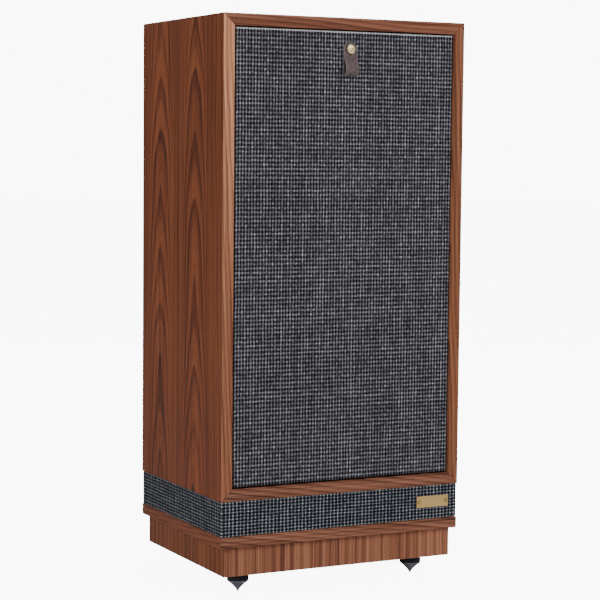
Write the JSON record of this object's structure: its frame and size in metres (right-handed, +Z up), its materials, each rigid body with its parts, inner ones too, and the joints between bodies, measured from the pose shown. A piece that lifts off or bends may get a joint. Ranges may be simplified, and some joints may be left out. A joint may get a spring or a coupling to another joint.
{
  "type": "floorstanding loudspeaker",
  "caption": "Tall walnut loudspeaker with a cloth grille, a leather pull tab, a cloth-wrapped port chamber, a plinth and spike feet; a coaxial driver sits behind the grille.",
  "frame": {"origin": "on the floor under the middle of the cabinet, at the level of the spike tips", "axes": "+Z up, -Y out of the grille, +X to the right as seen from the back of the room looking along +Y"},
  "size_m": [0.525, 0.4346, 1.114],
  "materials": {
    "walnut_veneer": "satin oiled veneer, vertical cathedral grain",
    "walnut_solid": "satin oiled solid wood",
    "walnut_strips": "satin oiled strips, vertical grain",
    "grille_cloth": "charcoal tweed weave",
    "band_cloth": "charcoal tweed weave",
    "leather": "matte grey-brown leather",
    "brass": "polished pale brass",
    "gunmetal": "dark satin metal",
    "black_paint": "matte black paint on board",
    "black_plastic": "moulded satin black",
    "red_plastic": "gloss red",
    "bare_board": "bare fibreboard",
    "wadding": "polyester wadding",
    "paper": "felted black paper pulp",
    "surround_rubber": "matte",
    "spider_cloth": "resin-dipped cotton",
    "cast_alloy": "black-painted casting",
    "horn_alloy": "satin grey",
    "motor_steel": "zinc-plated",
    "ferrite": "sintered, dark grey",
    "copper": "enamelled winding",
    "titanium": "thin pressed dome",
    "terminal_metal": "brushed plate",
    "circuit_board": "green laminate",
    "capacitor_film": "blue sleeve"
  },
  "bodies": {
    "cabinet": {"side_panel_left": "walnut_veneer", "side_panel_right": "walnut_veneer", "top_panel": "walnut_veneer", "bottom_panel": "walnut_veneer", "back_panel": "walnut_veneer", "front_baffle": "black_paint", "frame_stile_left": "walnut_solid", "frame_stile_right": "walnut_solid", "frame_rail_top": "walnut_solid", "frame_rail_bottom": "walnut_solid", "window_brace": "bare_board", "wadding": "wadding", "chamber_frame": "black_paint", "band_cloth": "band_cloth", "base_plate": "walnut_solid", "port_tube": "black_plastic", "port_diffuser": "black_plastic", "plinth_left": "walnut_strips", "plinth_right": "walnut_strips", "plinth_back": "walnut_strips", "plinth_front": "walnut_strips", "plinth_board": "bare_board", "badge_plate": "brass", "badge_screw_left": "brass", "badge_screw_right": "brass", "driver_basket": "cast_alloy", "driver_surround": "surround_rubber", "driver_spider": "spider_cloth", "driver_waveguide": "horn_alloy", "driver_front_plate": "motor_steel", "driver_magnet": "ferrite", "driver_back_plate": "motor_steel", "hf_housing": "cast_alloy", "control_plate": "terminal_metal", "terminal_plate": "terminal_metal", "post_high_minus": "brass", "post_high_plus": "brass", "post_low_minus": "brass", "post_low_plus": "brass", "crossover_board": "circuit_board", "inductor": "copper", "capacitor": "capacitor_film"},
    "grille": {"grille_frame": "black_paint", "grille_cloth": "grille_cloth", "pull_tab_root": "leather", "pull_tab_stud": "brass"},
    "pull_tab": {"pull_tab_loop": "leather"},
    "cone": {"driver_cone": "paper", "driver_voice_coil": "copper"},
    "hf_dome": {"hf_diaphragm": "titanium"},
    "knob_presence": {"knob_presence": "brass"},
    "knob_treble": {"knob_treble": "brass"},
    "cap_high_minus": {"cap_high_minus": "black_plastic"},
    "cap_high_plus": {"cap_high_plus": "red_plastic"},
    "cap_low_minus": {"cap_low_minus": "black_plastic"},
    "cap_low_plus": {"cap_low_plus": "red_plastic"},
    "foot_front_left": {"foot_front_left": "gunmetal"},
    "foot_front_right": {"foot_front_right": "gunmetal"},
    "foot_back_left": {"foot_back_left": "gunmetal"},
    "foot_back_right": {"foot_back_right": "gunmetal"}
  },
  "joints": [
    {"name": "grille_pull", "type": "slide", "parent": "cabinet", "child": "grille", "axis": [0, -1, 0], "range_m": [0, 0.12]},
    {"name": "pull_tab_lift", "type": "hinge", "parent": "grille", "child": "pull_tab", "pos_m": [0.0045, -0.1986, 1.0385], "axis": [-1, 0, 0], "range_deg": [0, 80]},
    {"name": "cone_stroke", "type": "slide", "parent": "cabinet", "child": "cone", "axis": [0, -1, 0], "range_m": [-0.006, 0.006], "stiffness_N_per_m": 2600},
    {"name": "hf_stroke", "type": "slide", "parent": "cabinet", "child": "hf_dome", "axis": [0, -1, 0], "range_m": [-0.0004, 0.0004], "stiffness_N_per_m": 20000},
    {"name": "knob_presence_turn", "type": "hinge", "parent": "cabinet", "child": "knob_presence", "pos_m": [-0.055, -0.1735, 0.46], "axis": [0, -1, 0], "range_deg": [-140, 140]},
    {"name": "knob_treble_turn", "type": "hinge", "parent": "cabinet", "child": "knob_treble", "pos_m": [0.055, -0.1735, 0.46], "axis": [0, -1, 0], "range_deg": [-140, 140]},
    {"name": "cap_high_minus_unscrew", "type": "slide", "parent": "cabinet", "child": "cap_high_minus", "axis": [0, 1, 0], "range_m": [0, 0.006]},
    {"name": "cap_high_plus_unscrew", "type": "slide", "parent": "cabinet", "child": "cap_high_plus", "axis": [0, 1, 0], "range_m": [0, 0.006]},
    {"name": "cap_low_minus_unscrew", "type": "slide", "parent": "cabinet", "child": "cap_low_minus", "axis": [0, 1, 0], "range_m": [0, 0.006]},
    {"name": "cap_low_plus_unscrew", "type": "slide", "parent": "cabinet", "child": "cap_low_plus", "axis": [0, 1, 0], "range_m": [0, 0.006]},
    {"name": "foot_front_left_adjust", "type": "slide", "parent": "cabinet", "child": "foot_front_left", "axis": [0, 0, -1], "range_m": [0, 0.012]},
    {"name": "foot_front_right_adjust", "type": "slide", "parent": "cabinet", "child": "foot_front_right", "axis": [0, 0, -1], "range_m": [0, 0.012]},
    {"name": "foot_back_left_adjust", "type": "slide", "parent": "cabinet", "child": "foot_back_left", "axis": [0, 0, -1], "range_m": [0, 0.012]},
    {"name": "foot_back_right_adjust", "type": "slide", "parent": "cabinet", "child": "foot_back_right", "axis": [0, 0, -1], "range_m": [0, 0.012]}
  ]
}
